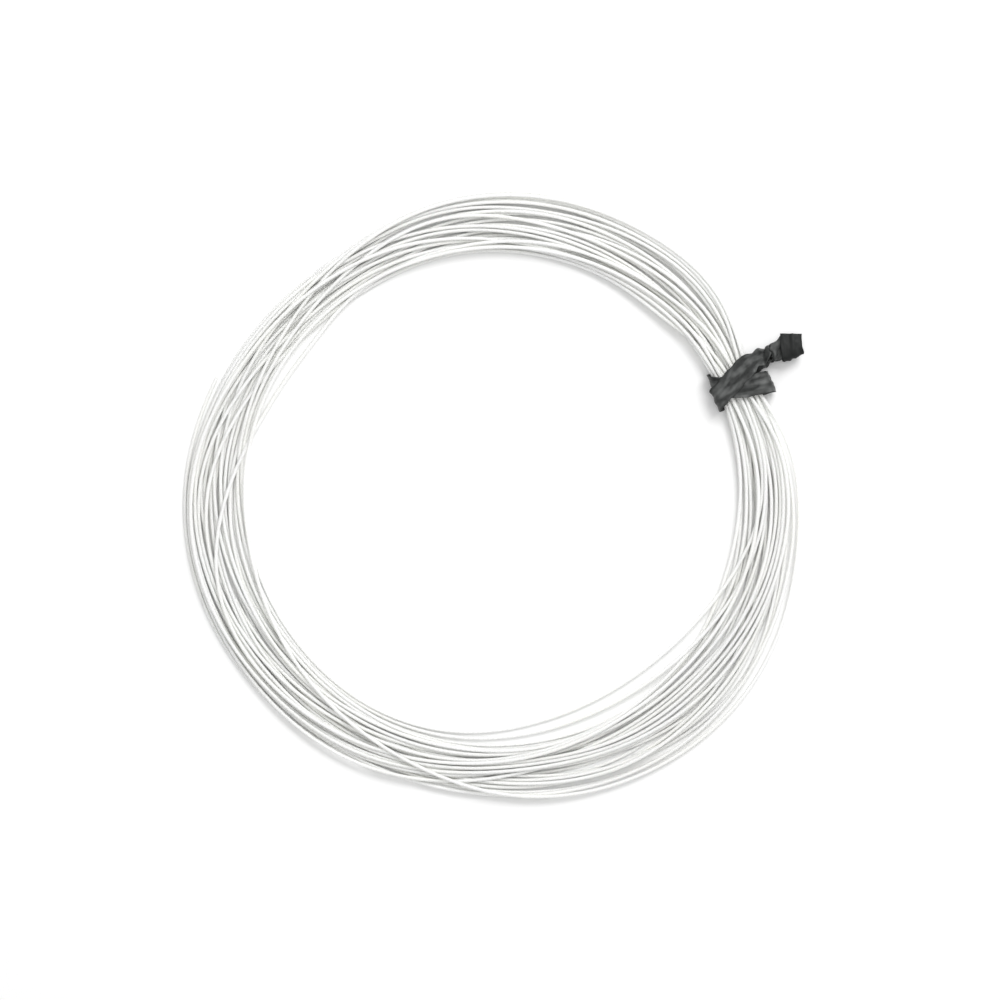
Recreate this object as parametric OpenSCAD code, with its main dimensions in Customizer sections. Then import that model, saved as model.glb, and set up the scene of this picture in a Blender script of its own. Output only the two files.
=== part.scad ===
// Coil of racket string, hand wound and held by one wire-cored twist tie.
// The coil lies flat: +Z is up, the floor is z = 0 and the origin is under the
// middle of the whole part.  All sizes are in millimetres.

/* [String] */
// Diameter of the string
string_d = 0.7; // [0.6:0.01:0.72]
// Loops in the coil
loops = 24; // [16:4:24]
// Layers that the loops lie in
layers = 4; // [4:1:5]

/* [Coil] */
// Diameter of the coil at the middle of its band of loops
coil_d = 106.4; // [100:0.2:120]
// Width of the band where the loops lie free
band_w = 12.2; // [9:0.1:14]
// Width of the bundle where the tie draws it in
waist_w = 7.8; // [7.8:0.1:9]
// Height from one layer of loops to the next
layer_step = 1.12; // [1.1:0.01:1.4]

/* [Tie] */
// Angle of the tie round the coil
tie_angle = 24; // [0:1:90]
// Width of the ribbon
tie_w = 4.2; // [3.6:0.1:4.6]
// Thickness of the ribbon along its edges
edge_t = 0.3; // [0.2:0.02:0.36]
// Thickness of plastic over each side of the wire
wire_cover = 0.09; // [0.06:0.01:0.14]
// Room left between the string and the ribbon above and below it
tie_clear = 0.12; // [0.1:0.02:0.3]
// Slack of the ribbon at each side of the bundle
side_slack = 0.8; // [0.7:0.05:1]
// Room left between two passes of the ribbon
pass_gap = 0.12; // [0.1:0.02:0.3]
// Height of the lowest pass of the ribbon above the floor
floor_gap = 0.06; // [0.02:0.02:0.3]

/* [Tie wire] */
// Diameter of the wire
wire_d = 0.4; // [0.3:0.02:0.5]
// Room left round the wire in the ribbon
wire_clear = 0.02; // [0.01:0.01:0.04]
// Distance of the wire from the middle of the ribbon
wire_offset = -0.3; // [-0.6:0.05:0.6]
// Length of bare wire at the folded end
wire_tip = 0.4; // [0.2:0.1:1]

/* [Twist] */
// Distance from the middle of the bundle to the start of the twist
twist_start = 6.6; // [6.4:0.1:8]
// Length of the twist
twist_l = 2.9; // [2.6:0.1:4]
// Width of the ribbon where it is gathered in the twist
twist_w = 3; // [2.6:0.1:3.4]
// Height of the twist below the middle of the bundle
twist_drop = 0.5; // [0:0.1:1]

/* [Hidden] */

// Rings on one loop of string, and sides on one ring
rings = 24;
sides = 6;
ring_step = 360 / rings;

// The string is six-sided with flats above and below; its lowest loops are
// pressed flat by a tenth of its diameter where they lie on the floor
string_h = string_d * cos(180 / sides);
rest_h = string_d / 2 - string_d / 10;
bundle_h = (layers - 1) * layer_step + string_h;

// The band of loops, by angle from the tie: how far its middle lies outside
// the coil's own circle, and its width from 0 at the waist to 1 where it is free
band_middle = [[ring_step / 2, 0.15], [36, 1.3], [66, 0.3], [96, -2], [121, -1], [156, 0.9],
    [186, 0.5], [226, -0.2], [286, 0.6], [316, 1.8], [336, 0.3], [360 - ring_step / 2, 0.15]];
band_spread = [[ring_step / 2, 0], [36, 0.84], [66, 0.9], [96, 0.25], [121, 0.25], [156, 0.95],
    [186, 1.1], [226, 0.8], [286, 1.6], [316, 1.2], [336, 1], [360 - ring_step / 2, 0]];

// Turns in the twist of the ribbon's two ends
twist_turns = 0.75;

// Share of the ribbon's height that the loops still have, by angle from the tie
band_rise = [[ring_step / 2, 1], [22.5, 0.6], [37.5, 0.2], [52.5, 0]];

// The ribbon is thickest over its wire, and its second wrap lies on the first
channel_d = wire_d + 2 * wire_clear;
ridge_t = channel_d + 2 * wire_cover;
pass_step = ridge_t + pass_gap;
ridge_w = ridge_t + 0.5;
under_h = floor_gap + ridge_t + pass_step + tie_clear;
bundle_mid = under_h + bundle_h / 2;

// Turns of string that one layer takes; the first and last are half a turn short
layer_turns = (loops + 1) / layers;

function smooth(x) = let (t = min(max(x, 0), 1)) t * t * (3 - 2 * t);
function unit(a) = a / norm(a);
function from_tie(angle) = (angle - tie_angle + 720) % 360;

// ---- The string's path -------------------------------------------------

coil_start = tie_angle + 12.5 * ring_step;

function coil_angle(turn) = (coil_start + 360 * turn) % 360;

// 1 at the outer edge of the band and 0 at the inner one, in and out by turns
function coil_place(turn) = abs(1 - ((turn + 0.5) / layer_turns) % 2);

// Each climb to the next layer takes the half turn where the spiral reverses
function coil_climb(turn, k = 1) = k == layers ? 0
    : smooth((turn + 0.5 - layer_turns * k + 0.25) / 0.5) + coil_climb(turn, k + 1);

function coil_point(turn) =
    let (
        angle = coil_angle(turn),
        away = from_tie(angle),
        spread = waist_w + (band_w - waist_w) * lookup(away, band_spread) - string_d,
        r = coil_d / 2 + lookup(away, band_middle) + (coil_place(turn) - 0.5) * spread,
        rise = (under_h + string_h / 2 - rest_h) * lookup(min(away, 360 - away), band_rise)
    )
    [r * cos(angle), r * sin(angle), rest_h + layer_step * coil_climb(turn) + rise];

coil_path = [for (i = [0 : loops * rings]) coil_point(i / rings)];

function coil_ring(i) =
    let (angle = coil_angle(i / rings), out = [cos(angle), sin(angle), 0])
    [for (k = [0 : sides - 1])
        let (p = coil_path[i] + string_d / 2 * (out * cos(360 * k / sides) + [0, 0, sin(360 * k / sides)]))
        [p[0], p[1], max(p[2], 0)]];

coil_rings = [for (i = [0 : len(coil_path) - 1]) coil_ring(i)];

// Least distance between two loops, from points on one to the lines of the other
function to_line(p, a, b) =
    let (t = min(max((p - a) * (b - a) / ((b - a) * (b - a)), 0), 1))
    norm(p - a - t * (b - a));

function loop_gap(i, j) = min([for (s = [0 : 0.25 : 0.75], n = [-1 : 1])
    let (m = min(max(j + n, 0), loops * rings - 1))
    to_line(coil_path[i] + s * (coil_path[i + 1] - coil_path[i]), coil_path[m], coil_path[m + 1])]);

least_gap = min([for (i = [0 : (loops - 1) * rings - 1], j = [i + rings : rings : loops * rings - 1])
    loop_gap(i, j)]) - string_d;
echo(least_gap_of_string_to_itself = least_gap);

// ---- The tie's path ------------------------------------------------------
// u runs outward across the bundle, v along it and the third axis up.  A
// station is the middle of the ribbon and the vector from there to its edge.

tie_r = (coil_d / 2 + lookup(ring_step / 2, band_middle)) * cos(ring_step / 2);
wrap_a = waist_w / 2 + side_slack + ridge_t / 2;
wrap_b = bundle_h / 2 + tie_clear + ridge_t / 2;

// Place along the bundle, by angle round it, of the two turns of the ribbon,
// which cross each other on top of the bundle
wrap_along = [[60, 2.8], [180, 2.1], [300, -1.15], [360, -1.7], [540, -0.8], [660, 3.1]];
wrap_squareness = 8;
wrap_from = 60;
wrap_to = 660;
wrap_step = 12;

// The wrap is a rounded box round the bundle, and grows by one pass half way
function wrap_point(t) =
    let (
        grow = pass_step * smooth((t - 300) / 100),
        a = wrap_a + grow,
        b = wrap_b + grow,
        polar = atan2(b * sin(t), a * cos(t)),
        n = wrap_squareness,
        r = pow(pow(abs(cos(polar)) / a, n) + pow(abs(sin(polar)) / b, n), -1 / n)
    )
    [r * cos(polar), lookup(t, wrap_along), bundle_mid - r * sin(polar)];

function wrap_heading(t) = unit(wrap_point(t + 2) - wrap_point(t - 2));

// A station whose edge lies square to the ribbon's heading, along the bundle
function square_station(p, heading, w) =
    [p, w / 2 * unit([0, 1, 0] - heading[1] * heading)];

wraps = [for (t = [wrap_from : wrap_step : wrap_to])
    square_station(wrap_point(t), wrap_heading(t), tie_w)];

// Each arm bends from the wrap to the twist, one above and one below
function bend_point(p, s) = pow(1 - s, 3) * p[0] + 3 * s * pow(1 - s, 2) * p[1]
    + 3 * s * s * (1 - s) * p[2] + pow(s, 3) * p[3];
function bend_heading(p, s) = unit((1 - s) * (1 - s) * (p[1] - p[0])
    + 2 * s * (1 - s) * (p[2] - p[1]) + s * s * (p[3] - p[2]));
function arm_w(s) = tie_w + (twist_w - tie_w) * smooth(s);

arm_v = 3.3;
arm_reach = 1.2;
pair_gap = [0, 0, pass_step / 2];
pinch = [twist_start, arm_v, bundle_mid - twist_drop];
lower_arm = [pinch - pair_gap, pinch - pair_gap - [arm_reach, 0, 0],
    wrap_point(wrap_from) - arm_reach * wrap_heading(wrap_from), wrap_point(wrap_from)];
upper_arm = [wrap_point(wrap_to), wrap_point(wrap_to) + arm_reach * wrap_heading(wrap_to),
    pinch + pair_gap - [arm_reach, 0, 0], pinch + pair_gap];
arm_steps = 6;

arm_in = [for (i = [1 : arm_steps - 1])
    let (s = i / arm_steps)
    square_station(bend_point(lower_arm, s), bend_heading(lower_arm, s), arm_w(1 - s))];
arm_out = [for (i = [1 : arm_steps - 1])
    let (s = i / arm_steps)
    square_station(bend_point(upper_arm, s), bend_heading(upper_arm, s), arm_w(s))];

// Both ends of the ribbon lie face to face and turn about one line
twist_steps = 12;
function twist_station(i, side) =
    let (s = i / twist_steps, turn = -360 * twist_turns * s)
    [pinch + [twist_l * s, 0, 0] + side * pass_step / 2 * [0, -sin(turn), cos(turn)],
        twist_w / 2 * [0, cos(turn), sin(turn)]];

twist_in = [for (i = [twist_steps : -1 : 0]) twist_station(i, -1)];
twist_out = [for (i = [0 : twist_steps]) twist_station(i, 1)];

// Past the twist one end folds back over itself, and the other stays below it
twist_end = pinch + [twist_l, 0, 0];
fold_end = [
    [[1, -0.5, -0.35], [0.95, 0.35, 1.1]],
    [[2.1, -1.25, -0.95], [1.95, 0.45, 0.35]],
    [[2.35, -2.15, 0.35], [2.2, 0.1, 0]],
    [[2.4, -1.2, 1.65], [2.25, -0.1, 0]],
    [[3, 0.3, 1.85], [2.05, -0.6, 0]],
    [[3.7, 1.85, 1.7], [1.9, -0.85, 0]],
];
short_end = [
    [[1.2, 0.8, -0.2], [0, -0.3, 1.45]],
    [[2.7, 1.1, -0.5], [0, -1, 1.65]],
];
end_steps = 4;

function placed(list) = [for (s = list) [twist_end + s[0], s[1]]];
function spline(p0, p1, p2, p3, t) = p1 + t / 2 * (p2 - p0
    + t * (2 * p0 - 5 * p1 + 4 * p2 - p3 + t * (3 * (p1 - p2) + p3 - p0)));
function spline_stations(list) =
    [for (i = [1 : len(list) - 2], k = [1 : end_steps])
        let (last = list[min(i + 2, len(list) - 1)], t = k / end_steps)
        [for (c = [0, 1]) spline(list[i - 1][c], list[i][c], list[i + 1][c], last[c], t)]];

out_end = spline_stations(concat([twist_out[twist_steps - 2], twist_out[twist_steps]], placed(fold_end)));
in_end = spline_stations(concat([twist_in[2], twist_in[0]], placed(short_end)));
in_end_back = [for (i = [len(in_end) - 1 : -1 : 0]) in_end[i]];

tie_path = concat(in_end_back, twist_in, arm_in, wraps, arm_out, twist_out, out_end);

// ---- Sweeps ----------------------------------------------------------------

function heading(path, i) = unit(path[min(i + 1, len(path) - 1)][0] - path[max(i - 1, 0)][0]);

// An outline [across, through] set on every station of a path
function swept(path, outline) = [for (i = [0 : len(path) - 1])
    let (across = unit(path[i][1]), through = unit(cross(across, heading(path, i))))
    [for (q = outline(norm(path[i][1]))) path[i][0] + q[0] * across + q[1] * through]];

function ribbon_outline(half) =
    let (e = edge_t / 2, r = ridge_t / 2, c = wire_offset, o = ridge_w / 2, n = channel_d / 2)
    [[half, -e], [half, e], [c + o, e], [c + n, r], [c - n, r], [c - o, e],
        [-half, e], [-half, -e], [c - o, -e], [c - n, -r], [c + n, -r], [c + o, -e]];

function wire_outline(d) = [for (k = [0 : 11])
    [wire_offset + d / 2 * cos(30 * k - 15), d / 2 * sin(30 * k - 15)]];

// Triangles between ring i and ring i + 1 of n points each, from point `base`
function band_faces(count, n, base = 0) = [for (i = [0 : count - 2], j = [0 : n - 1])
    let (a = base + i * n + j, b = base + i * n + (j + 1) % n)
    each [[a, b, a + n], [b, b + n, a + n]]];
function turned(faces) = [for (f = faces) [f[2], f[1], f[0]]];
function cap_faces(n, base) = [for (j = [1 : n - 2]) [base, base + j + 1, base + j]];

// Triangles of the flat end between an outer ring and the channel's ring
function end_faces(outer, inner) = [for (j = [0 : 11])
    let (k = (j + 1) % 12)
    each j % 6 < 3
        ? [[outer + j, inner + j, outer + k], [outer + k, inner + j, inner + k]]
        : [[outer + j, inner + k, outer + k], [outer + j, inner + j, inner + k]]];

module solid_tube(rows) {
    n = len(rows[0]);
    last = (len(rows) - 1) * n;
    polyhedron(
        points = [for (row = rows) each row],
        faces = concat(band_faces(len(rows), n), cap_faces(n, 0), turned(cap_faces(n, last)))
    );
}

module hollow_tube(outer, inner) {
    count = len(outer);
    base = count * 12;
    last = (count - 1) * 12;
    polyhedron(
        points = concat([for (row = outer) each row], [for (row = inner) each row]),
        faces = concat(
            band_faces(count, 12),
            turned(band_faces(count, 12, base)),
            end_faces(0, base),
            turned(end_faces(last, base + last))
        )
    );
}

// ---- Place of the part -------------------------------------------------------

function tie_to_coil(p) =
    [(tie_r + p[0]) * cos(tie_angle) - p[1] * sin(tie_angle),
        (tie_r + p[0]) * sin(tie_angle) + p[1] * cos(tie_angle), p[2]];
function rows_to_coil(rows) = [for (row = rows) [for (p = row) tie_to_coil(p)]];

wire_end = [tie_path[len(tie_path) - 1][0] + wire_tip * heading(tie_path, len(tie_path) - 1),
    tie_path[len(tie_path) - 1][1]];
ribbon_rows = rows_to_coil(swept(tie_path, function(half) ribbon_outline(half)));
channel_rows = rows_to_coil(swept(tie_path, function(half) wire_outline(channel_d)));
wire_rows = rows_to_coil(swept(concat(tie_path, [wire_end]), function(half) wire_outline(wire_d)));

function reach(rows, axis) = [for (row = rows, p = row) p[axis]];
all_rows = concat(coil_rings, ribbon_rows, wire_rows);
middle = [for (axis = [0, 1]) (min(reach(all_rows, axis)) + max(reach(all_rows, axis))) / 2];

// ---- The pieces ----------------------------------------------------------------

module string_coil() {
    color("whitesmoke")
        translate([-middle[0], -middle[1], 0])
            solid_tube(coil_rings);
}

module tie_ribbon() {
    color("#2e3030")
        translate([-middle[0], -middle[1], 0])
            hollow_tube(ribbon_rows, channel_rows);
}

module tie_wire() {
    color("silver")
        translate([-middle[0], -middle[1], 0])
            solid_tube(wire_rows);
}

string_coil();
tie_ribbon();
tie_wire();
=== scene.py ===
import math

import bpy
import numpy as np
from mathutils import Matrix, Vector


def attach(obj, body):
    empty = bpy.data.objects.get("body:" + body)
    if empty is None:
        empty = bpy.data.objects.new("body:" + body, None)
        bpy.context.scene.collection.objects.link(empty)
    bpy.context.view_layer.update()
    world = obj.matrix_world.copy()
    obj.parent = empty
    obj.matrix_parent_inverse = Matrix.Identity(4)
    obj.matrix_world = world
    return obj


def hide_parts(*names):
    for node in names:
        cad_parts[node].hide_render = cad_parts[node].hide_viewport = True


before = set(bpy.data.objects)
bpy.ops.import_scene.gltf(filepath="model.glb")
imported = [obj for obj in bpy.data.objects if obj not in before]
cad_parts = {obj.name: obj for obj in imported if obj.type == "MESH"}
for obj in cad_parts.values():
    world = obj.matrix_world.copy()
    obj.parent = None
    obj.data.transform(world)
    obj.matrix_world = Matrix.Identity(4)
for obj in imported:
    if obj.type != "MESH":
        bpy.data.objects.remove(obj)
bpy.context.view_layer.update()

# ---- Camera ----------------------------------------------------------------
# A long lens looks straight down on the coil, a little to the right of its
# middle, and takes in 195 mm of the table.
VIEW_WIDTH = 0.195
EYE_HEIGHT = 1.1                    # over the middle of the coil's height
COIL_HALF_HEIGHT = 0.0015
AIM = (0.00115, -0.00046)
SENSOR_WIDTH = 36                   # millimetres

camera_data = bpy.data.cameras.new("camera")
camera_data.sensor_width = SENSOR_WIDTH
camera_data.lens = SENSOR_WIDTH * EYE_HEIGHT / VIEW_WIDTH
camera_data.clip_start, camera_data.clip_end = 0.05, 10
camera = bpy.data.objects.new("camera", camera_data)
camera.location = (AIM[0], AIM[1], EYE_HEIGHT + COIL_HALF_HEIGHT)
bpy.context.scene.collection.objects.link(camera)
bpy.context.scene.camera = camera

# ---- String ------------------------------------------------------------------
# One 10 m length of white multifilament nylon string, 0.7 mm thick, wound by
# hand into about thirty turns.  The turns wander across the band, cross each
# other at low angles, lie two to four deep and crowd together in the tie.
STRING_D = 0.70e-3
STATIONS = 144                      # stations round one turn, from the tie
TIE_ANGLE = 24.0
COIL_MIDDLE = np.array([-0.408e-3, 0.325e-3])
PLAN = 0.195e-3                     # one unit of the radii in the lay plan

# Radius of the band of turns at its inner and outer edge, by angle
BAND_ANGLES = [24, 40, 60, 80, 100, 120, 140, 160, 180, 200, 220, 240, 260, 280, 300, 320, 340, 360, 384]
BAND_INNER = [248, 252, 251, 249, 245, 243, 246, 247, 249, 247, 244, 246, 246, 246, 250, 253, 250, 245, 248]
BAND_OUTER = [286, 301, 304, 303, 296, 282, 285, 293, 300, 298, 295, 292, 294, 304, 315, 319, 309, 299, 286]
EDGE_ROOM = 3                       # how far inside these edges the hidden turns are planned

# Upper turns, lowest first: the radius at each of these angles
TURN_ANGLES = [30, 40, 60, 80, 100, 120, 140, 160, 180, 200, 220, 240, 260, 280, 300, 320, 340, 360, 380]
UPPER_TURNS = [
    [281, 297, 298, 296, 291, 284, 287, 294, 302, 302, 298, 295, 296, 302, 311, 313, 307, 301, 286],
    [286, 303, 306, 306, 299, 283, 279, 281, 278, 270, 262, 256, 255, 258, 255, 254, 247, 249, 252],
    [252, 254, 255, 254, 258, 261.5, 267, 282, 299, 301, 293, 287, 276, 264, 261, 257, 264, 266, 263],
    [263, 264, 259.5, 262.5, 268.5, 269, 274.5, 286, 300, 299, 297, 293, 283, 272, 268, 270, 282, 284, 277],
    [278, 293, 294, 289, 290, 280, 283, 291, 303.5, 304, 302, 300.5, 289.5, 276, 272, 274, 281, 281, 274],
    [274, 268.5, 264.5, 268, 273, 277, 281, 289, 297, 294.5, 288, 281, 271, 267, 275, 279, 287, 290, 281],
    [282, 299.5, 302, 301, 295.5, 281.5, 275, 276, 272, 266, 263, 260, 259, 258, 261, 264, 271, 273, 270],
    [269, 249, 247, 246, 246, 242.5, 247.5, 264, 285.5, 287, 279, 270, 267, 261, 255, 251, 257, 254.5, 256],
    [256, 254, 250, 250, 251, 253, 257, 275.5, 296, 292, 286, 283, 275, 270, 280, 283.5, 290, 290, 281],
    [284, 301, 304, 303, 297, 282, 265, 258, 254.5, 251, 247, 246, 244, 240, 240, 248, 262.5, 273, 271],
]

# The last four turns, which lie on top: angle and radius where each one goes
TOP_TURNS = [
    [(30, 271), (40, 277), (60, 274), (80, 276), (95, 282), (105, 281), (115, 272), (120, 268),
     (140, 257), (160, 256), (170, 256), (180, 251), (190, 248), (200, 247), (220, 246), (240, 245),
     (260, 240), (270, 236), (280, 231), (290, 229), (300, 228), (310, 230), (318, 232.5), (323, 236),
     (330, 241), (335, 245), (340, 252), (347, 259), (353, 267), (360, 272), (380, 268)],
    [(30, 267), (40, 258), (60, 253), (80, 252), (90, 255.5), (97, 258.5), (103, 262), (110, 265.5),
     (115, 267.5), (120, 269), (130, 272), (140, 276), (150, 280), (160, 287), (170, 296), (180, 301),
     (190, 303), (200, 302), (220, 296), (240, 291), (260, 280), (280, 275), (300, 283), (320, 291),
     (340, 294), (360, 297), (380, 284)],
    [(30, 280), (40, 270), (60, 262), (80, 258), (100, 251), (120, 246), (128, 243), (133, 239), (138, 234.5),
     (145, 235), (150, 237), (158, 239.5), (165, 246), (172, 254.5), (180, 266), (188, 277), (193, 285),
     (200, 291), (210, 293), (220, 290), (240, 281), (260, 270), (280, 262), (300, 256), (320, 258),
     (340, 264), (360, 267), (380, 264)],
    [(30, 262), (40, 260), (60, 255), (80, 251), (100, 248), (120, 247), (140, 248), (160, 248), (180, 248),
     (190, 247), (200, 249), (213, 254), (228, 261.5), (240, 269), (250, 276), (260, 285.5), (270, 297),
     (280, 306), (290, 312.5), (300, 317), (315, 322), (330, 320.5), (345, 312), (355, 307.5), (360, 306.5),
     (367, 303), (372, 301.5), (376, 296), (380, 288.5)],
]

# The first, lowest half turn: it starts at the cut end on the outside
FIRST_END = 156.5
FIRST_TURN = [(156.5, 297.5), (163, 300.5), (170, 303), (180, 306), (190, 306.5), (202.5, 305.5),
              (210, 304), (220, 301), (240, 295), (260, 289), (280, 288), (300, 293), (320, 288),
              (340, 283), (360, 275), (380, 270)]

# The hidden turns between those wander in and out: waves to a turn, and their sizes
HIDDEN_TURNS = 15
HIDDEN = slice(1, HIDDEN_TURNS + 1)
WANDER = ((0.31, 1.0), (0.57, 0.8), (0.83, 0.6), (1.37, 0.3))
WANDER_SEED = 2
WANDER_EASING = 200

# Where one turn leads over into the next, in stations before and after the tie
JOIN = 4
LONG_JOIN = 36

# The waist in the tie, and how high the ribbon's lower passes hold it
WAIST_RADIUS = 52.5e-3
WAIST_HALF = 4.1e-3
WAIST_FLARE = 0.35e-3               # how much this half grows with each degree from the tie, and from where
WAIST_FLARE_FROM = 4
WAIST_LIFT = 1.3e-3
WAIST_LIFT_REACH = 32               # degrees from the tie at which the turns lie on the table again
WAIST_REACH = 5                     # degrees to each side of the tie that the ribbon holds
IN_TIE = [11, 21]                   # where the turns divide into the layers in the tie
TIE_PITCH = 1.04 * STRING_D         # from one turn to the next in a layer there
TIE_ORDER = (3, 14)                 # degrees from the tie where that order is full and where it ends

# How the turns settle: the pile at the start, and how far it sinks in each round until a share
# of the rounds is done
ROUNDS, QUICK_ROUNDS = 1500, 300
PILE_STEP = 0.30 * STRING_D
SINKING = ((0.5, 0.012e-3), (0.8, 0.006e-3), (0.95, 0.002e-3))
HOLD_UPPER, HOLD_HIDDEN = 0.97, 0.998   # how much of its distance from the plan a turn keeps each round
PUSH = 0.32                         # how far each of two turns moves, as a share of how deep they touch
EDGE_PULL = 0.3                     # how much of the way back a hidden turn outside the band moves
SUNK = 0.6 * STRING_D               # turns that come closer than this are lifted over each other,
LIFT_FROM = 0.6                     # once this share of the rounds is done

# The sides of the swept section, the braid's yarns each way and the length of one turn
# of a yarn, and the colours
STRING_SIDES = 10
YARNS = 4
YARN_PITCH = 3.8e-3
STRING_WHITE = (0.95, 0.955, 0.935, 1)
# The darker colour: painted shade in the grooves between the yarns, and random speckle
STRING_GROOVE_SHADE_AND_SPECKLE = (0.86, 0.865, 0.84, 1)
STRING_CREAM = (0.965, 0.965, 0.935, 1)


def smooth_line(points, values, at):
    """A smooth line through given points, read at other places."""
    x, y = np.asarray(points, float), np.asarray(values, float)
    gap = np.diff(x)
    rise = np.diff(y) / gap
    slope = (rise[:-1] * gap[1:] + rise[1:] * gap[:-1]) / (gap[1:] + gap[:-1])
    slope = np.concatenate([rise[:1], slope, rise[-1:]])
    i = np.clip(np.searchsorted(x, at, side="right") - 1, 0, len(x) - 2)
    t = (at - x[i]) / gap[i]
    return ((2 * t**3 - 3 * t**2 + 1) * y[i] + (t**3 - 2 * t**2 + t) * gap[i] * slope[i]
            + (3 * t**2 - 2 * t**3) * y[i + 1] + (t**3 - t**2) * gap[i] * slope[i + 1])


def eased(x, times):
    """The line after each of its points has moved half way to its neighbours' middle, so many times."""
    x = x.copy()
    for _ in range(times):
        x[1:-1] += 0.25 * (x[:-2] - 2 * x[1:-1] + x[2:])
    return x


def planned_radii(angles):
    """The radius that every turn aims for at every station, lowest turn first."""
    inner = smooth_line(BAND_ANGLES, BAND_INNER, angles) + EDGE_ROOM
    outer = smooth_line(BAND_ANGLES, BAND_OUTER, angles) - EDGE_ROOM
    chance = np.random.default_rng(WANDER_SEED)
    turn = np.arange((HIDDEN_TURNS + 1) * STATIONS) / STATIONS
    wander = sum(size * np.sin(2 * np.pi * (rate * turn + chance.random())) for rate, size in WANDER)
    order = wander.reshape(-1, STATIONS).argsort(0).argsort(0) * 1.0
    place = eased(order.reshape(-1), WANDER_EASING).reshape(-1, STATIONS)
    hidden = inner + (outer - inner) * (place - place.min(0)) / (place.max(0) - place.min(0))
    upper = [smooth_line(TURN_ANGLES, turn, np.clip(angles, 30, 380)) for turn in UPPER_TURNS]
    upper += [smooth_line(*zip(*turn), np.clip(angles, 30, 380)) for turn in TOP_TURNS]
    first = smooth_line(*zip(*FIRST_TURN), np.clip(angles, FIRST_END, 380))
    return np.vstack([first, hidden[1:], *upper])


def joined_turns(radii):
    """The planned turns run on into each other at the tie.  The first turn and the last hidden one take
    a quarter turn to lead over to the next; the hidden turns are one line already."""
    line = radii.reshape(-1).copy()
    for turn in (1, *range(HIDDEN_TURNS + 1, len(radii))):
        before = LONG_JOIN if turn in (1, HIDDEN_TURNS + 1) else JOIN
        a, b = turn * STATIONS - before, turn * STATIONS + JOIN
        t = (np.arange(a, b + 1) - a) / (b - a)
        t = t * t * (3 - 2 * t)
        line[a:b + 1] = line[a] * (1 - t) + line[b] * t
    return eased(line, 6).reshape(radii.shape)


def spread_in_tie(radii):
    """The turns side by side where the tie holds them, in the order in which they come: eleven on the
    ribbon, ten over those, and nine on top."""
    line, marks = radii.reshape(-1).copy(), np.arange(1, len(radii) + 1) * STATIONS
    marks[-1] -= 1
    full, end = TIE_ORDER
    reach = math.ceil(end * STATIONS / 360) + 1
    for group in np.split(marks, IN_TIE):
        order = radii.reshape(-1)[group].argsort().argsort()
        wanted = (WAIST_RADIUS + TIE_PITCH * (order - (len(group) - 1) / 2)) / PLAN
        for mark, shift in zip(group, wanted - radii.reshape(-1)[group]):
            near = np.arange(max(mark - reach, 0), min(mark + reach + 1, len(line)))
            t = np.clip((end - np.abs(near - mark) * 360 / STATIONS) / (end - full), 0, 1)
            line[near] += shift * t * t * (3 - 2 * t)
    return line.reshape(radii.shape)


def settled_turns(aim, here, lift, waist, band, rounds):
    """Radius and height of every turn at every station once the string has settled on the table.  In each
    round it sinks a little, is drawn to its planned radius, stiffens along its length, and is pushed off
    what it touches.  Where two turns have sunk into each other, the later one is lifted over the earlier
    one.  The hidden turns are drawn so weakly that they slide into the gaps, and a soft pull keeps them
    near the band."""
    turns = len(aim)
    hold = np.where(np.arange(turns) > HIDDEN_TURNS, HOLD_UPPER, HOLD_HIDDEN)[:, None]
    edges = [np.clip(edge, aim[HIDDEN].min(0), aim[HIDDEN].max(0)) for edge in band]
    earlier, later = np.triu_indices(turns, 1)
    both = here[earlier] & here[later]
    r = aim.copy()
    z = STRING_D / 2 + PILE_STEP * np.arange(turns)[:, None] + lift
    low, high = WAIST_RADIUS - WAIST_HALF + STRING_D / 2, WAIST_RADIUS + WAIST_HALF - STRING_D / 2
    for k in range(rounds):
        share = k / rounds
        z = z - next((step for until, step in SINKING if share < until), 0)
        off = eased((r - aim).reshape(-1), 2 if share < 0.9 else 3)
        r = aim + off.reshape(r.shape) * (hold if share < 0.95 else 1)
        z = eased(z.reshape(-1), 2).reshape(z.shape)
        dr, dz = r[earlier] - r[later], z[earlier] - z[later]
        apart = np.sqrt(dr * dr + dz * dz) + 1e-9
        if share > LIFT_FROM:
            sunk = apart < SUNK
            dz, apart = np.where(sunk, -SUNK, dz), np.where(sunk, SUNK, apart)
        push = np.where(both, np.clip(STRING_D - apart, 0, None), 0) * PUSH / apart
        move_r, move_z = np.zeros_like(r), np.zeros_like(z)
        for one, way in ((earlier, 1), (later, -1)):
            np.add.at(move_r, one, way * push * dr)
            np.add.at(move_z, one, way * push * dz)
        r, z = r + move_r, z + move_z
        r[HIDDEN] += EDGE_PULL * (np.clip(r[HIDDEN], *edges) - r[HIDDEN])
        r[:, waist] = np.clip(r[:, waist], low, high)
        z = np.maximum(z, STRING_D / 2)
        z[:, waist] = np.maximum(z[:, waist], WAIST_LIFT + STRING_D / 2)
    r = aim + eased((r - aim).reshape(-1), 2).reshape(r.shape)
    z = np.maximum(eased(z.reshape(-1), 2).reshape(z.shape), STRING_D / 2)
    return r, z


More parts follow.
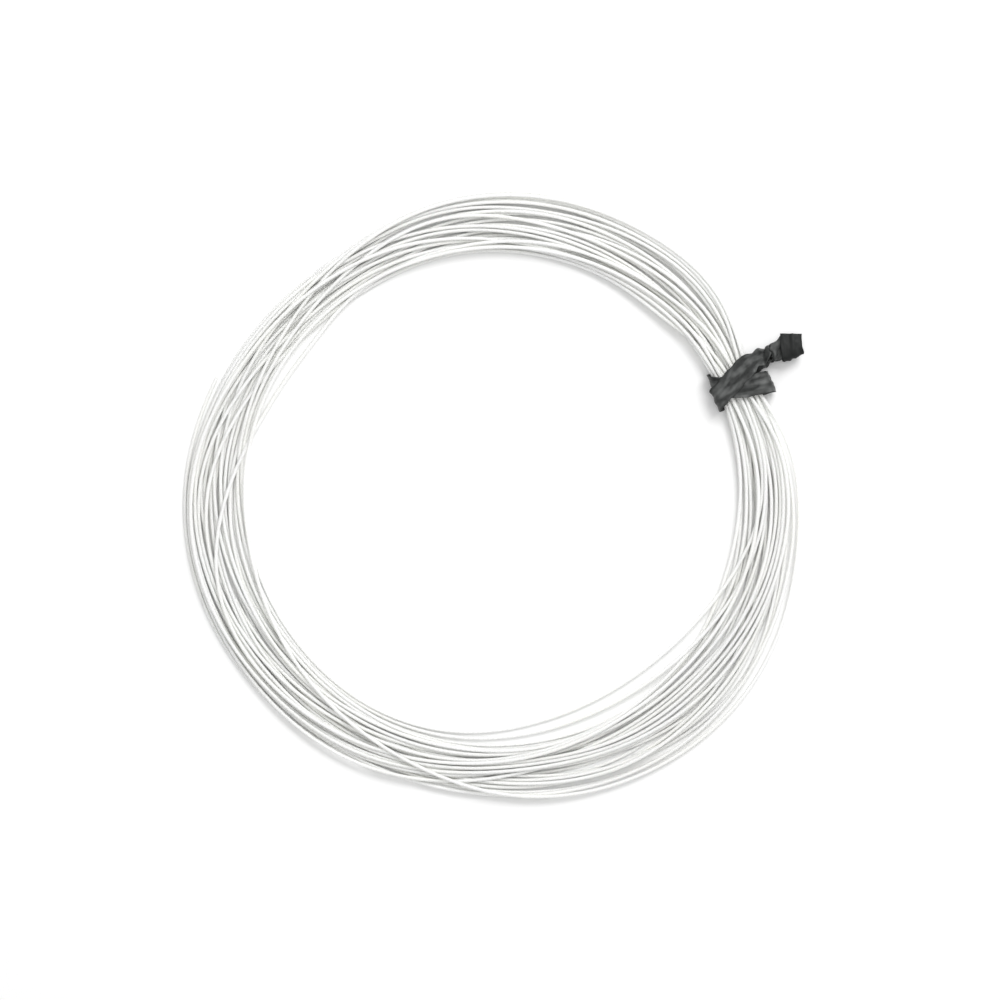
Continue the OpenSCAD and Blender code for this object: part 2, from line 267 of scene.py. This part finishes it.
station_angles = TIE_ANGLE + 360 / STATIONS * np.arange(STATIONS)
from_tie = np.minimum(station_angles - TIE_ANGLE, 360 - (station_angles - TIE_ANGLE))
room = WAIST_HALF - STRING_D / 2 + WAIST_FLARE * np.clip(from_tie - WAIST_FLARE_FROM, 0, None)
aim = spread_in_tie(joined_turns(planned_radii(station_angles))) * PLAN
aim = eased(np.clip(aim, WAIST_RADIUS - room, WAIST_RADIUS + room).reshape(-1), 6).reshape(aim.shape)
lift = np.clip(1 - from_tie / WAIST_LIFT_REACH, 0, 1)
lift = WAIST_LIFT * lift * lift * (3 - 2 * lift)
waist = from_tie <= WAIST_REACH
first_station = round((FIRST_END - TIE_ANGLE) * STATIONS / 360)
here = np.ones(aim.shape, bool)
here[0, :first_station] = False
rounds = ROUNDS
band = [smooth_line(BAND_ANGLES, edge, station_angles) * PLAN for edge in (BAND_INNER, BAND_OUTER)]
turn_r, turn_z = settled_turns(aim, here, lift, waist, band, rounds)

running = np.radians(TIE_ANGLE + 360 / STATIONS * np.arange(aim.size))
string_path = np.stack([COIL_MIDDLE[0] + turn_r.reshape(-1) * np.cos(running),
                        COIL_MIDDLE[1] + turn_r.reshape(-1) * np.sin(running),
                        turn_z.reshape(-1)], 1)[first_station:]
waist_top = float(turn_z[:, waist].max() + STRING_D / 2)


def sweep_tree(name):
    """Geometry nodes that sweep a round section along a line of points.  The attribute `lay` keeps, for each
    point of the surface, its side of the section as cosine and sine, and its distance along the line."""
    tree = bpy.data.node_groups.new(name, "GeometryNodeTree")
    plug = tree.interface.new_socket
    plug("Line", in_out="INPUT", socket_type="NodeSocketGeometry")
    plug("Diameter", in_out="INPUT", socket_type="NodeSocketFloat")
    plug("Sides", in_out="INPUT", socket_type="NodeSocketInt")
    plug("Finish", in_out="INPUT", socket_type="NodeSocketMaterial")
    plug("Surface", in_out="OUTPUT", socket_type="NodeSocketGeometry")
    new, link = tree.nodes.new, tree.links.new
    given, made = new("NodeGroupInput"), new("NodeGroupOutput")
    line, section = new("GeometryNodeMeshToCurve"), new("GeometryNodeCurvePrimitiveCircle")
    half = new("ShaderNodeMath")
    half.operation, half.inputs[1].default_value = "DIVIDE", 2
    along, keep_along = new("GeometryNodeSplineParameter"), new("GeometryNodeCaptureAttribute")
    keep_along.capture_items.new("FLOAT", "Distance")
    where, side = new("GeometryNodeInputPosition"), new("ShaderNodeVectorMath")
    keep_side = new("GeometryNodeCaptureAttribute")
    side.operation = "NORMALIZE"
    keep_side.capture_items.new("VECTOR", "Side")
    sweep = new("GeometryNodeCurveToMesh")
    sweep.inputs["Fill Caps"].default_value = True
    split, join = new("ShaderNodeSeparateXYZ"), new("ShaderNodeCombineXYZ")
    store = new("GeometryNodeStoreNamedAttribute")
    store.data_type, store.domain = "FLOAT_VECTOR", "POINT"
    store.inputs["Name"].default_value = "lay"
    realize, finish = new("GeometryNodeRealizeInstances"), new("GeometryNodeSetMaterial")
    link(given.outputs["Line"], line.inputs[0])
    link(given.outputs["Diameter"], half.inputs[0])
    link(given.outputs["Sides"], section.inputs["Resolution"])
    link(half.outputs[0], section.inputs["Radius"])
    link(line.outputs[0], keep_along.inputs["Geometry"])
    link(along.outputs["Length"], keep_along.inputs["Distance"])
    link(section.outputs[0], keep_side.inputs["Geometry"])
    link(where.outputs[0], side.inputs[0])
    link(side.outputs[0], keep_side.inputs["Side"])
    link(keep_along.outputs["Geometry"], sweep.inputs["Curve"])
    link(keep_side.outputs["Geometry"], sweep.inputs["Profile Curve"])
    link(keep_side.outputs["Side"], split.inputs[0])
    link(split.outputs["X"], join.inputs["X"])
    link(split.outputs["Y"], join.inputs["Y"])
    link(keep_along.outputs["Distance"], join.inputs["Z"])
    link(sweep.outputs[0], store.inputs["Geometry"])
    link(join.outputs[0], store.inputs["Value"])
    link(store.outputs[0], realize.inputs[0])
    link(realize.outputs[0], finish.inputs["Geometry"])
    link(given.outputs["Finish"], finish.inputs["Material"])
    link(finish.outputs[0], made.inputs[0])
    return tree


def swept_piece(name, points, tree, finish, diameter, sides):
    """A plain mesh piece: the tree's sweep along these points."""
    mesh = bpy.data.meshes.new(name)
    mesh.from_pydata([tuple(p) for p in points], [(i, i + 1) for i in range(len(points) - 1)], [])
    piece = bpy.data.objects.new(name, mesh)
    bpy.context.scene.collection.objects.link(piece)
    modifier = piece.modifiers.new("sweep", "NODES")
    modifier.node_group = tree
    wanted = {"Diameter": diameter, "Sides": sides, "Finish": finish}
    for socket in tree.interface.items_tree:
        if socket.in_out == "INPUT" and socket.name in wanted:
            modifier[socket.identifier] = wanted[socket.name]
    bpy.context.view_layer.update()
    graph = bpy.context.evaluated_depsgraph_get()
    made = bpy.data.meshes.new_from_object(
        piece.evaluated_get(graph), preserve_all_data_layers=True, depsgraph=graph)
    piece.modifiers.clear()
    piece.data = made
    made.name = name
    made.polygons.foreach_set("use_smooth", [True] * len(made.polygons))
    return piece


def string_finish():
    """White multifilament nylon: eight fine yarns braided under a clear coat, a little translucent."""
    material = bpy.data.materials.new("string_nylon")
    material.use_nodes = True
    nodes, link = material.node_tree.nodes, material.node_tree.links.new
    coat = nodes["Principled BSDF"]
    coat.inputs["Subsurface Weight"].default_value = 1.0
    coat.inputs["Subsurface Radius"].default_value = (1, 1, 1)
    coat.inputs["Subsurface Scale"].default_value = 0.001
    coat.inputs["Specular IOR Level"].default_value = 0.35

    def calc(kind, first, second, third=None):
        node = nodes.new("ShaderNodeMath")
        node.operation = kind
        for plug, value in zip(node.inputs, (first, second, third)):
            if isinstance(value, (int, float)):
                plug.default_value = value
            elif value is not None:
                link(value, plug)
        return node.outputs[0]

    lay, split = nodes.new("ShaderNodeAttribute"), nodes.new("ShaderNodeSeparateXYZ")
    lay.attribute_name = "lay"
    link(lay.outputs["Vector"], split.inputs[0])
    round_it = calc("ARCTAN2", split.outputs["Y"], split.outputs["X"])
    along = split.outputs["Z"]
    yarns = [calc("SINE", calc("MULTIPLY_ADD", along, way * YARNS * 2 * math.pi / YARN_PITCH,
                               calc("MULTIPLY", round_it, YARNS)), 0) for way in (1, -1)]
    braid = calc("MAXIMUM", *yarns)
    spots, stretches = nodes.new("ShaderNodeTexNoise"), nodes.new("ShaderNodeTexNoise")
    spots.inputs["Scale"].default_value, spots.inputs["Detail"].default_value = 2600, 3
    stretches.noise_dimensions = "1D"
    stretches.inputs["Scale"].default_value, stretches.inputs["Detail"].default_value = 38, 2
    where = nodes.new("ShaderNodeTexCoord")
    link(where.outputs["Object"], spots.inputs["Vector"])
    link(along, stretches.inputs["W"])
    shade, tint = nodes.new("ShaderNodeValToRGB"), nodes.new("ShaderNodeMix")
    shade.color_ramp.elements[0].position, shade.color_ramp.elements[0].color = 0.1, STRING_GROOVE_SHADE_AND_SPECKLE
    shade.color_ramp.elements[1].position, shade.color_ramp.elements[1].color = 0.9, STRING_WHITE
    tint.data_type, tint.blend_type = "RGBA", "MULTIPLY"
    cream = nodes.new("ShaderNodeValToRGB")
    cream.color_ramp.elements[0].position, cream.color_ramp.elements[0].color = 0.35, (1, 1, 1, 1)
    cream.color_ramp.elements[1].position, cream.color_ramp.elements[1].color = 0.7, STRING_CREAM
    tint.inputs["Factor"].default_value = 1
    speckle = calc("MULTIPLY_ADD", spots.outputs[0], 0.5, 0.35)
    # The braid pattern paints the colour darker in the grooves between the yarns, as shade; the spots add
    # random speckle
    link(calc("MULTIPLY_ADD", braid, 0.35, speckle), shade.inputs[0])
    link(stretches.outputs[0], cream.inputs[0])
    link(shade.outputs[0], tint.inputs["A"])
    link(cream.outputs[0], tint.inputs["B"])
    link(tint.outputs["Result"], coat.inputs["Base Color"])
    link(calc("MULTIPLY_ADD", braid, -0.1, 0.42), coat.inputs["Roughness"])
    relief = nodes.new("ShaderNodeBump")
    relief.inputs["Strength"].default_value, relief.inputs["Distance"].default_value = 0.55, 0.00004
    link(calc("MULTIPLY_ADD", spots.outputs[0], 0.6, braid), relief.inputs["Height"])
    link(relief.outputs[0], coat.inputs["Normal"])
    return material


sweep = sweep_tree("sweep_round")
string = swept_piece("string_turns", string_path, sweep, string_finish(), STRING_D, STRING_SIDES)
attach(string, "root")
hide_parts("string_coil")

# ---- Tie ribbon ---------------------------------------------------------------
# A strip of black matt polyethylene, 4.2 mm wide, drawn over an iron wire.  It
# goes twice round the waist of the coil, crosses itself on top, and its two
# ends are twisted together; one of them is folded back flat over the twist.
RIBBON_W = 4.2                      # sizes of the tie are in millimetres
RIBBON_EDGE_T = 0.16
RIDGE_T, RIDGE_HALF_W = 0.5, 0.42
RIDGE_PLACE = -0.3
RIDGE_IN_TWIST = 0.16               # how much thicker the ridge is where the strip is wrung
TIE_RADIUS = 52.89                  # from the middle of the coil to the middle of the wrap
STATION_STEP = 0.2                  # along the ribbon
POINTS_ACROSS = 21

# The two passes: the angle round the bundle, and how far along the bundle the ribbon is there
WRAP_FROM, WRAP_TO = 60, 660
WRAP_ALONG = [(60, 2.0), (150, 2.35), (205, 2.2), (240, 0.7), (300, -1.1), (360, -1.8), (450, -1.3),
              (540, -0.85), (568, -0.8), (600, 0.5), (630, 1.9), (660, 3.1)]
BUNDLE_HALF, SIDE_ROOM, TOP_ROOM = 3.8, 0.75, 0.1   # half the bundle's width, and the room round it
OUTER_SLACK, INNER_SLACK = 0.7, 0.25   # how far the strip stands off the string at the two sides
PASS_STEP = 0.58                    # how much wider the second pass is, which it becomes
PASS_STEP_FROM, PASS_STEP_TO = 300, 400   # between these angles

# The arms from there to the twist, and the twist: its place is outward, along the bundle and down
ARM_REACH, ARM_GATHER = 1.2, 0.28   # how far the bends reach, and how much narrower they gather the strip
TWIST_START, TWIST_SIDE, TWIST_DROP = 6.6, 3.2, 0.15
TWIST_L, TWIST_W, TWIST_TURNS = 2.9, 3.8, 0.5
TWIST_LEAN = 0.6                    # how far round the twist has gone where it starts, in radians
TWIST_R, ARM_GAP = 1.5, 0.5         # how far each end lies from the middle of the twist, and at its start
TWIST_CURL = 1.55                   # how far round the twist each side of the strip goes, in radians

# The soft creases: how long they are along the ribbon, and how deep
CREASES = ((9.0, 0.09), (5.3, 0.08), (3.4, 0.06), (2.3, 0.05), (1.3, 0.02))
CREASE_SEED = 5
MEAN_WAVE = 0.64                    # the mean height of a sine folded upward
LONG_FOLD = 0.13                    # the depth of the fold that wanders along the strip
EDGE_WAVES = ((3.9, 0.06, 1), (2.3, 0.04, 0))   # length, size and start
CREASE_FREE = 0.5                   # how near the wire the creases fade out

# The strip's colours, and its darker folded end: how long that is, and over how far it darkens
RIBBON_BLACK = (0.011, 0.0122, 0.0118, 1)
# The lighter colour: random scuffs, and pale streaks along the strip that are painted sheen
RIBBON_SCUFF_AND_SHEEN = (0.11, 0.114, 0.112, 1)
FLAP_L, FLAP_FADE = 8, 1.5

bundle_low, bundle_high = WAIST_LIFT * 1000, waist_top * 1000
bundle_middle = (bundle_low + bundle_high) / 2
wrap_half = (BUNDLE_HALF + SIDE_ROOM + RIDGE_T / 2, (bundle_high - bundle_low) / 2 + TOP_ROOM + RIDGE_T / 2)


def unit(a):
    """The same direction, one unit long."""
    return a / np.linalg.norm(a)


def eased_step(x):
    """From 0 to 1 as x goes from 0 to 1, level at both ends."""
    x = min(max(x, 0), 1)
    return x * x * (3 - 2 * x)


def wrap_point(t):
    """A point of the ribbon's middle line at an angle round the bundle: outward, along the bundle and up."""
    grow = PASS_STEP * eased_step((t - PASS_STEP_FROM) / (PASS_STEP_TO - PASS_STEP_FROM))
    a, b = wrap_half[0] + grow, wrap_half[1] + grow
    turn = math.radians(t)
    way = math.atan2(b * math.sin(turn), a * math.cos(turn))
    side, square = (a + OUTER_SLACK, 6) if math.cos(way) > 0 else (a + INNER_SLACK, 4)
    r = (abs(math.cos(way) / side) ** square + abs(math.sin(way) / b) ** square) ** (-1 / square)
    along = float(smooth_line(*zip(*WRAP_ALONG), np.array([t]))[0])
    return np.array([r * math.cos(way), along, bundle_middle - r * math.sin(way)])


def square_station(p, way, width):
    """A place on the ribbon's line, and the vector from there to its edge, square to the line."""
    return p, width / 2 * unit(np.array([0, 1, 0]) - way[1] * way)


def arm_stations(start, start_way, end, end_way, widths, steps=9):
    """The ribbon's bend between the wrap and the twist, gathered a little narrower half way along."""
    a, b, c, d = start, start + ARM_REACH * start_way, end - ARM_REACH * end_way, end
    made = []
    for i in range(1, steps):
        s = i / steps
        p = (1 - s) ** 3 * a + 3 * s * (1 - s) ** 2 * b + 3 * s * s * (1 - s) * c + s ** 3 * d
        way = unit((1 - s) ** 2 * (b - a) + 2 * s * (1 - s) * (c - b) + s * s * (d - c))
        gathered = 1 - ARM_GATHER * math.sin(math.pi * s) ** 2
        made.append(square_station(p, way, gathered * (widths[0] + (widths[1] - widths[0]) * eased_step(s))))
    return made


def twist_fullness(s):
    """How full the twist is at a share of its length: the ends run in and out of it flat."""
    return eased_step(s / 0.4) * eased_step((1 - s) / 0.35)


def twist_station(s, side):
    """A station in the twist, for the strip on one side of the twist's middle or the other."""
    turn = -TWIST_LEAN - (2 * math.pi * TWIST_TURNS - TWIST_LEAN) * s
    out = side * (ARM_GAP + (TWIST_R - ARM_GAP) * twist_fullness(s))
    centre = pinch + np.array([TWIST_L * s, 0, 0]) + out * np.array([0, -math.sin(turn), math.cos(turn)])
    return centre, TWIST_W / 2 * np.array([0, math.cos(turn), math.sin(turn)])


outward = np.array([1.0, 0, 0])
pair_gap = ARM_GAP * np.array([0, math.sin(TWIST_LEAN), math.cos(TWIST_LEAN)])
pinch = np.array([TWIST_START, TWIST_SIDE, bundle_middle - TWIST_DROP])
wrap_way = {t: unit(wrap_point(t + 2) - wrap_point(t - 2)) for t in range(WRAP_FROM, WRAP_TO + 1, 6)}
wraps = [square_station(wrap_point(t), way, RIBBON_W) for t, way in wrap_way.items()]
lower_arm = arm_stations(pinch - pair_gap, -outward, wrap_point(WRAP_FROM), wrap_way[WRAP_FROM],
                         (TWIST_W, RIBBON_W))
upper_arm = arm_stations(wrap_point(WRAP_TO), wrap_way[WRAP_TO], pinch + pair_gap, outward,
                         (RIBBON_W, TWIST_W))
lower_twist = [twist_station(i / 20, -1) for i in range(20, -1, -1)]
upper_twist = [twist_station(i / 20, 1) for i in range(21)]
twist_end = pinch + TWIST_L * outward

# The folded end and the short end, from the end of the twist: the ribbon's middle
# and the vector to its edge
FOLDED_END = [((0.9, -0.45, -0.75), (-0.8, -1.7, 0)), ((1.9, -1.35, -0.95), (-1.9, -0.8, 0)),
              ((2.3, -2.35, -0.4), (-2.1, -0.1, 0)), ((2.3, -2.55, 0.75), (-2.1, 0, 0)),
              ((2.35, -1.5, 1.45), (-2.15, 0.1, 0)), ((2.9, 0.3, 1.5), (-2.05, 0.6, 0)),
              ((3.6, 2.0, 1.3), (-1.85, 0.85, 0))]
SHORT_END = [((1.1, 0.3, 0.25), (0.2, -1.8, 0)), ((2.4, 0.7, 0.2), (0.4, -1.9, 0.15))]


def between(a, b, c, d, t):
    """The place a share t of the way from b to c, on a smooth line through all four."""
    return b + t / 2 * (c - a + t * (2 * a - 5 * b + 4 * c - d + t * (3 * (b - c) + d - a)))


def end_stations(before, last, places):
    """A smooth run of stations from the twist through the places given for one end."""
    held = [before, last] + [(twist_end + np.array(p), np.array(w, float)) for p, w in places]
    held.append(held[-1])
    made = []
    for four in zip(held, held[1:], held[2:], held[3:]):
        made += [tuple(between(*values, k / 8) for values in zip(*four)) for k in range(1, 9)]
    return made


folded_end = end_stations(upper_twist[-3], upper_twist[-1], FOLDED_END)
short_end = end_stations(lower_twist[2], lower_twist[0], SHORT_END)
stations = short_end[::-1] + lower_twist + lower_arm + wraps + upper_arm + upper_twist + folded_end


def ribbon_lines(stations, spacing):
    """The stations' middles and edge vectors, spaced evenly along the ribbon and eased."""
    middle, edge = (np.array(x) for x in zip(*stations))
    run = np.concatenate([[0], np.cumsum(np.linalg.norm(np.diff(middle, axis=0), axis=1))])
    at = np.linspace(0, run[-1], round(run[-1] / spacing) + 1)

    def spread(values):
        return np.stack([np.interp(at, run, values[:, k]) for k in range(3)], 1)

    return at, eased(spread(middle), 3), eased(spread(edge), 3)


run, middle, edge = ribbon_lines(stations, STATION_STEP)
heading = np.gradient(middle, axis=0)
heading /= np.linalg.norm(heading, axis=1)[:, None]
half_width = np.linalg.norm(edge, axis=1)
across = edge / half_width[:, None]
through = np.cross(across, heading)
through /= np.linalg.norm(through, axis=1)[:, None]


def tie_to_table(points):
    """From the tie's own directions, in millimetres, to the table, in metres."""
    c, s = math.cos(math.radians(TIE_ANGLE)), math.sin(math.radians(TIE_ANGLE))
    u, v, z = points[..., 0] + TIE_RADIUS, points[..., 1], points[..., 2]
    x, y = (u * c - v * s) / 1000 + COIL_MIDDLE[0], (u * s + v * c) / 1000 + COIL_MIDDLE[1]
    return np.stack([x, y, z / 1000], -1)


# How far the strip curls at each place, as it goes round the twist: never quite nothing,
# since the strip's height is divided by it
far_out = np.clip((middle[:, 0] - TWIST_START) / TWIST_L, 0, 1)
curl = eased(np.array([TWIST_CURL * twist_fullness(s) for s in far_out]), 2) + 1e-4


def ribbon_mesh():
    """The strip with its ridge over the wire, its soft creases and its thin, slightly wavy edges."""
    share = np.linspace(-1, 1, POINTS_ACROSS)
    chance = np.random.default_rng(CREASE_SEED)
    crease = np.zeros((len(run), len(share)))
    for length, size in CREASES:
        slant, shift = chance.uniform(-1.3, 1.3), chance.uniform(0, 6.28)
        lean, swell = chance.uniform(-1, 1), chance.uniform(0, 6.28)
        wave = np.abs(np.sin(np.pi * (run[:, None] / length + slant * share) + shift)) - MEAN_WAVE
        crease += size * wave * (1 + lean * share) * (0.6 + 0.4 * np.sin(run[:, None] / 2.9 + swell))
    drift = 0.3 * np.sin(run[:, None] / 5.3 + 1)
    crease += LONG_FOLD * (np.abs(np.sin(np.pi * (1.15 * share + drift + 0.2))) - MEAN_WAVE)
    edge_wave = sum(size * np.sin(2 * np.pi * run / length + start) for length, size, start in EDGE_WAVES)
    x = share[None, :] * (half_width + edge_wave)[:, None]
    ridge = RIDGE_T - RIBBON_EDGE_T + RIDGE_IN_TWIST * curl[:, None] / TWIST_CURL
    thick = RIBBON_EDGE_T + ridge * np.exp(-((x - RIDGE_PLACE) / RIDGE_HALF_W) ** 2)
    near_wire = np.exp(-((x - RIDGE_PLACE) / CREASE_FREE) ** 2)
    place = x.copy()
    turned = share[None, :] * curl[:, None]
    lift = crease * (1 - near_wire) + half_width[:, None] * (1 - np.cos(turned)) / curl[:, None]
    x = x * np.sinc(turned / np.pi)
    rows = middle[:, None, :] + x[..., None] * across[:, None, :]
    top = rows + (lift + thick / 2)[..., None] * through[:, None, :]
    bottom = rows + (lift - thick / 2)[..., None] * through[:, None, :]
    ring = np.concatenate([top, bottom[:, ::-1]], 1)
    count, n = ring.shape[:2]
    faces = [(i * n + j, i * n + (j + 1) % n, (i + 1) * n + (j + 1) % n, (i + 1) * n + j)
             for i in range(count - 1) for j in range(n)]
    m = len(share)
    for base, flip in ((0, True), ((count - 1) * n, False)):
        for j in range(m - 1):
            face = (base + j, base + j + 1, base + n - 2 - j, base + n - 1 - j)
            faces.append(face[::-1] if flip else face)
    mesh = bpy.data.meshes.new("tie_strip")
    mesh.from_pydata([tuple(p) for p in tie_to_table(ring).reshape(-1, 3)], [], faces)
    place = np.concatenate([place, place[:, ::-1]], 1)
    uv = mesh.uv_layers.new(name="strip")
    corner = np.empty(len(mesh.loops), int)
    mesh.loops.foreach_get("vertex_index", corner)
    uv.data.foreach_set("uv", np.stack([place.reshape(-1)[corner], run[corner // n]], 1).ravel())
    return mesh


def ribbon_finish():
    """Black polyethylene: matt and scuffed, with pale streaks along the strip painted into its colour as
    sheen.  Its folded end is darker."""
    material = bpy.data.materials.new("tie_plastic")
    material.use_nodes = True
    nodes, link = material.node_tree.nodes, material.node_tree.links.new
    skin = nodes["Principled BSDF"]
    skin.inputs["Specular IOR Level"].default_value = 0.25
    where, strip = nodes.new("ShaderNodeTexCoord"), nodes.new("ShaderNodeUVMap")
    strip.uv_map = "strip"

    def noise(vector, scale, detail, stretch=None):
        if stretch:
            mapping = nodes.new("ShaderNodeMapping")
            mapping.inputs["Scale"].default_value = stretch
            link(vector, mapping.inputs["Vector"])
            vector = mapping.outputs[0]
        node = nodes.new("ShaderNodeTexNoise")
        node.inputs["Scale"].default_value, node.inputs["Detail"].default_value = scale, detail
        link(vector, node.inputs["Vector"])
        return node.outputs[0]

    def mapped(value, low, high, to_low, to_high):
        node = nodes.new("ShaderNodeMapRange")
        for name, number in (("From Min", low), ("From Max", high), ("To Min", to_low), ("To Max", to_high)):
            node.inputs[name].default_value = number
        link(value, node.inputs["Value"])
        return node.outputs[0]

    drawn = noise(strip.outputs[0], 1.6, 3, (9, 0.35, 1))
    # Pale streaks along the strip, painted into the colour as sheen
    sheen_streaks = noise(strip.outputs[0], 1, 1.5, (0.75, 0.3, 1))
    scuff = noise(where.outputs["Object"], 900, 4)
    dents = noise(where.outputs["Object"], 420, 2)
    mixed, held = nodes.new("ShaderNodeMath"), nodes.new("ShaderNodeMath")
    split = nodes.new("ShaderNodeSeparateXYZ")
    mixed.operation, mixed.inputs[1].default_value = "MULTIPLY_ADD", 0.45
    link(scuff, mixed.inputs[0])
    link(mapped(sheen_streaks, 0.42, 0.72, 0, 0.65), mixed.inputs[2])
    held.operation = "MULTIPLY"
    link(strip.outputs[0], split.inputs[0])
    link(mixed.outputs[0], held.inputs[0])
    flap = run[-1] - FLAP_L
    link(mapped(split.outputs["Y"], flap, flap + FLAP_FADE, 1, 0.2), held.inputs[1])
    shade = nodes.new("ShaderNodeValToRGB")
    shade.color_ramp.elements[0].position, shade.color_ramp.elements[0].color = 0.1, RIBBON_BLACK
    shade.color_ramp.elements[1].position, shade.color_ramp.elements[1].color = 0.85, RIBBON_SCUFF_AND_SHEEN
    link(held.outputs[0], shade.inputs[0])
    link(shade.outputs[0], skin.inputs["Base Color"])
    link(mapped(drawn, 0.3, 0.7, 0.36, 0.6), skin.inputs["Roughness"])
    fine, coarse = nodes.new("ShaderNodeBump"), nodes.new("ShaderNodeBump")
    fine.inputs["Strength"].default_value, fine.inputs["Distance"].default_value = 0.5, 0.00002
    coarse.inputs["Strength"].default_value, coarse.inputs["Distance"].default_value = 0.8, 0.00022
    link(dents, coarse.inputs["Height"])
    link(drawn, fine.inputs["Height"])
    link(coarse.outputs[0], fine.inputs["Normal"])
    link(fine.outputs[0], skin.inputs["Normal"])
    return material


ribbon = bpy.data.objects.new("tie_strip", ribbon_mesh())
bpy.context.scene.collection.objects.link(ribbon)
ribbon.data.polygons.foreach_set("use_smooth", [True] * len(ribbon.data.polygons))
ribbon.data.materials.append(ribbon_finish())
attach(ribbon, "root")
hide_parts("tie_ribbon")

# ---- Tie wire --------------------------------------------------------------------
# Annealed iron wire, 0.4 mm thick, bright where the cutter sheared it.  The
# plastic is drawn over it, so only its two cut ends show.
WIRE_D, WIRE_SIDES = 0.4, 12
WIRE_TIP = 0.08                     # how far each cut end stands out of the strip
IRON_DULL, IRON_BRIGHT = (0.32, 0.31, 0.3, 1), (0.6, 0.59, 0.57, 1)


def wire_finish():
    """Bare iron with a dull zinc wash and fine drawing marks."""
    material = bpy.data.materials.new("tie_iron")
    material.use_nodes = True
    nodes, link = material.node_tree.nodes, material.node_tree.links.new
    metal = nodes["Principled BSDF"]
    metal.inputs["Metallic"].default_value = 1
    marks = nodes.new("ShaderNodeTexNoise")
    marks.inputs["Scale"].default_value = 2500
    where = nodes.new("ShaderNodeTexCoord")
    shade = nodes.new("ShaderNodeValToRGB")
    shade.color_ramp.elements[0].color, shade.color_ramp.elements[1].color = IRON_DULL, IRON_BRIGHT
    gloss = nodes.new("ShaderNodeMapRange")
    gloss.inputs["To Min"].default_value, gloss.inputs["To Max"].default_value = 0.3, 0.55
    link(where.outputs["Object"], marks.inputs["Vector"])
    link(marks.outputs[0], shade.inputs[0])
    link(shade.outputs[0], metal.inputs["Base Color"])
    link(marks.outputs[0], gloss.inputs["Value"])
    link(gloss.outputs[0], metal.inputs["Roughness"])
    return material


wire_line = middle + RIDGE_PLACE * across
wire_line = np.vstack([wire_line[0] - WIRE_TIP * heading[0], wire_line,
                       wire_line[-1] + WIRE_TIP * heading[-1]])
wire = swept_piece("tie_core", tie_to_table(wire_line), sweep, wire_finish(), WIRE_D / 1000, WIRE_SIDES)
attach(wire, "root")
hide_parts("tie_wire")

# ---- Floor and light ----------------------------------------------------------
# A white table top, a large window lamp beyond the coil, a softer lamp overhead
# and an even white sky, bright enough for the table to show as pure white.
FLOOR_HALF = 3
floor_mesh = bpy.data.meshes.new("floor")
floor_corners = [(FLOOR_HALF * x, FLOOR_HALF * y, 0) for x, y in ((-1, -1), (1, -1), (1, 1), (-1, 1))]
floor_mesh.from_pydata(floor_corners, [], [(0, 1, 2, 3)])
floor = bpy.data.objects.new("floor", floor_mesh)
bpy.context.scene.collection.objects.link(floor)
floor_paint = bpy.data.materials.new("floor_white")
floor_paint.use_nodes = True
paint = floor_paint.node_tree.nodes["Principled BSDF"]
paint.inputs["Base Color"].default_value = (0.93, 0.93, 0.93, 1)
paint.inputs["Roughness"].default_value = 0.9
paint.inputs["Specular IOR Level"].default_value = 0.1
floor_mesh.materials.append(floor_paint)


def soft_lamp(name, place, size, power):
    """A rectangular lamp that faces the middle of the table."""
    data = bpy.data.lights.new(name, "AREA")
    data.shape, data.size, data.size_y, data.energy = "RECTANGLE", size[0], size[1], power
    lamp = bpy.data.objects.new(name, data)
    lamp.location = place
    lamp.rotation_euler = (-Vector(place)).to_track_quat("-Z", "Y").to_euler()
    bpy.context.scene.collection.objects.link(lamp)


soft_lamp("window_light", (0.33, 0.57, 0.75), (0.5, 0.45), 5.9)
soft_lamp("ceiling_light", (0.02, 0.06, 1.5), (0.6, 0.6), 3.6)
world = bpy.data.worlds.new("world")
bpy.context.scene.world = world
world.use_nodes = True
world.node_tree.nodes["Background"].inputs["Color"].default_value = (1, 1, 1, 1)
world.node_tree.nodes["Background"].inputs["Strength"].default_value = 0.60
bpy.context.scene.view_settings.view_transform = "Standard"
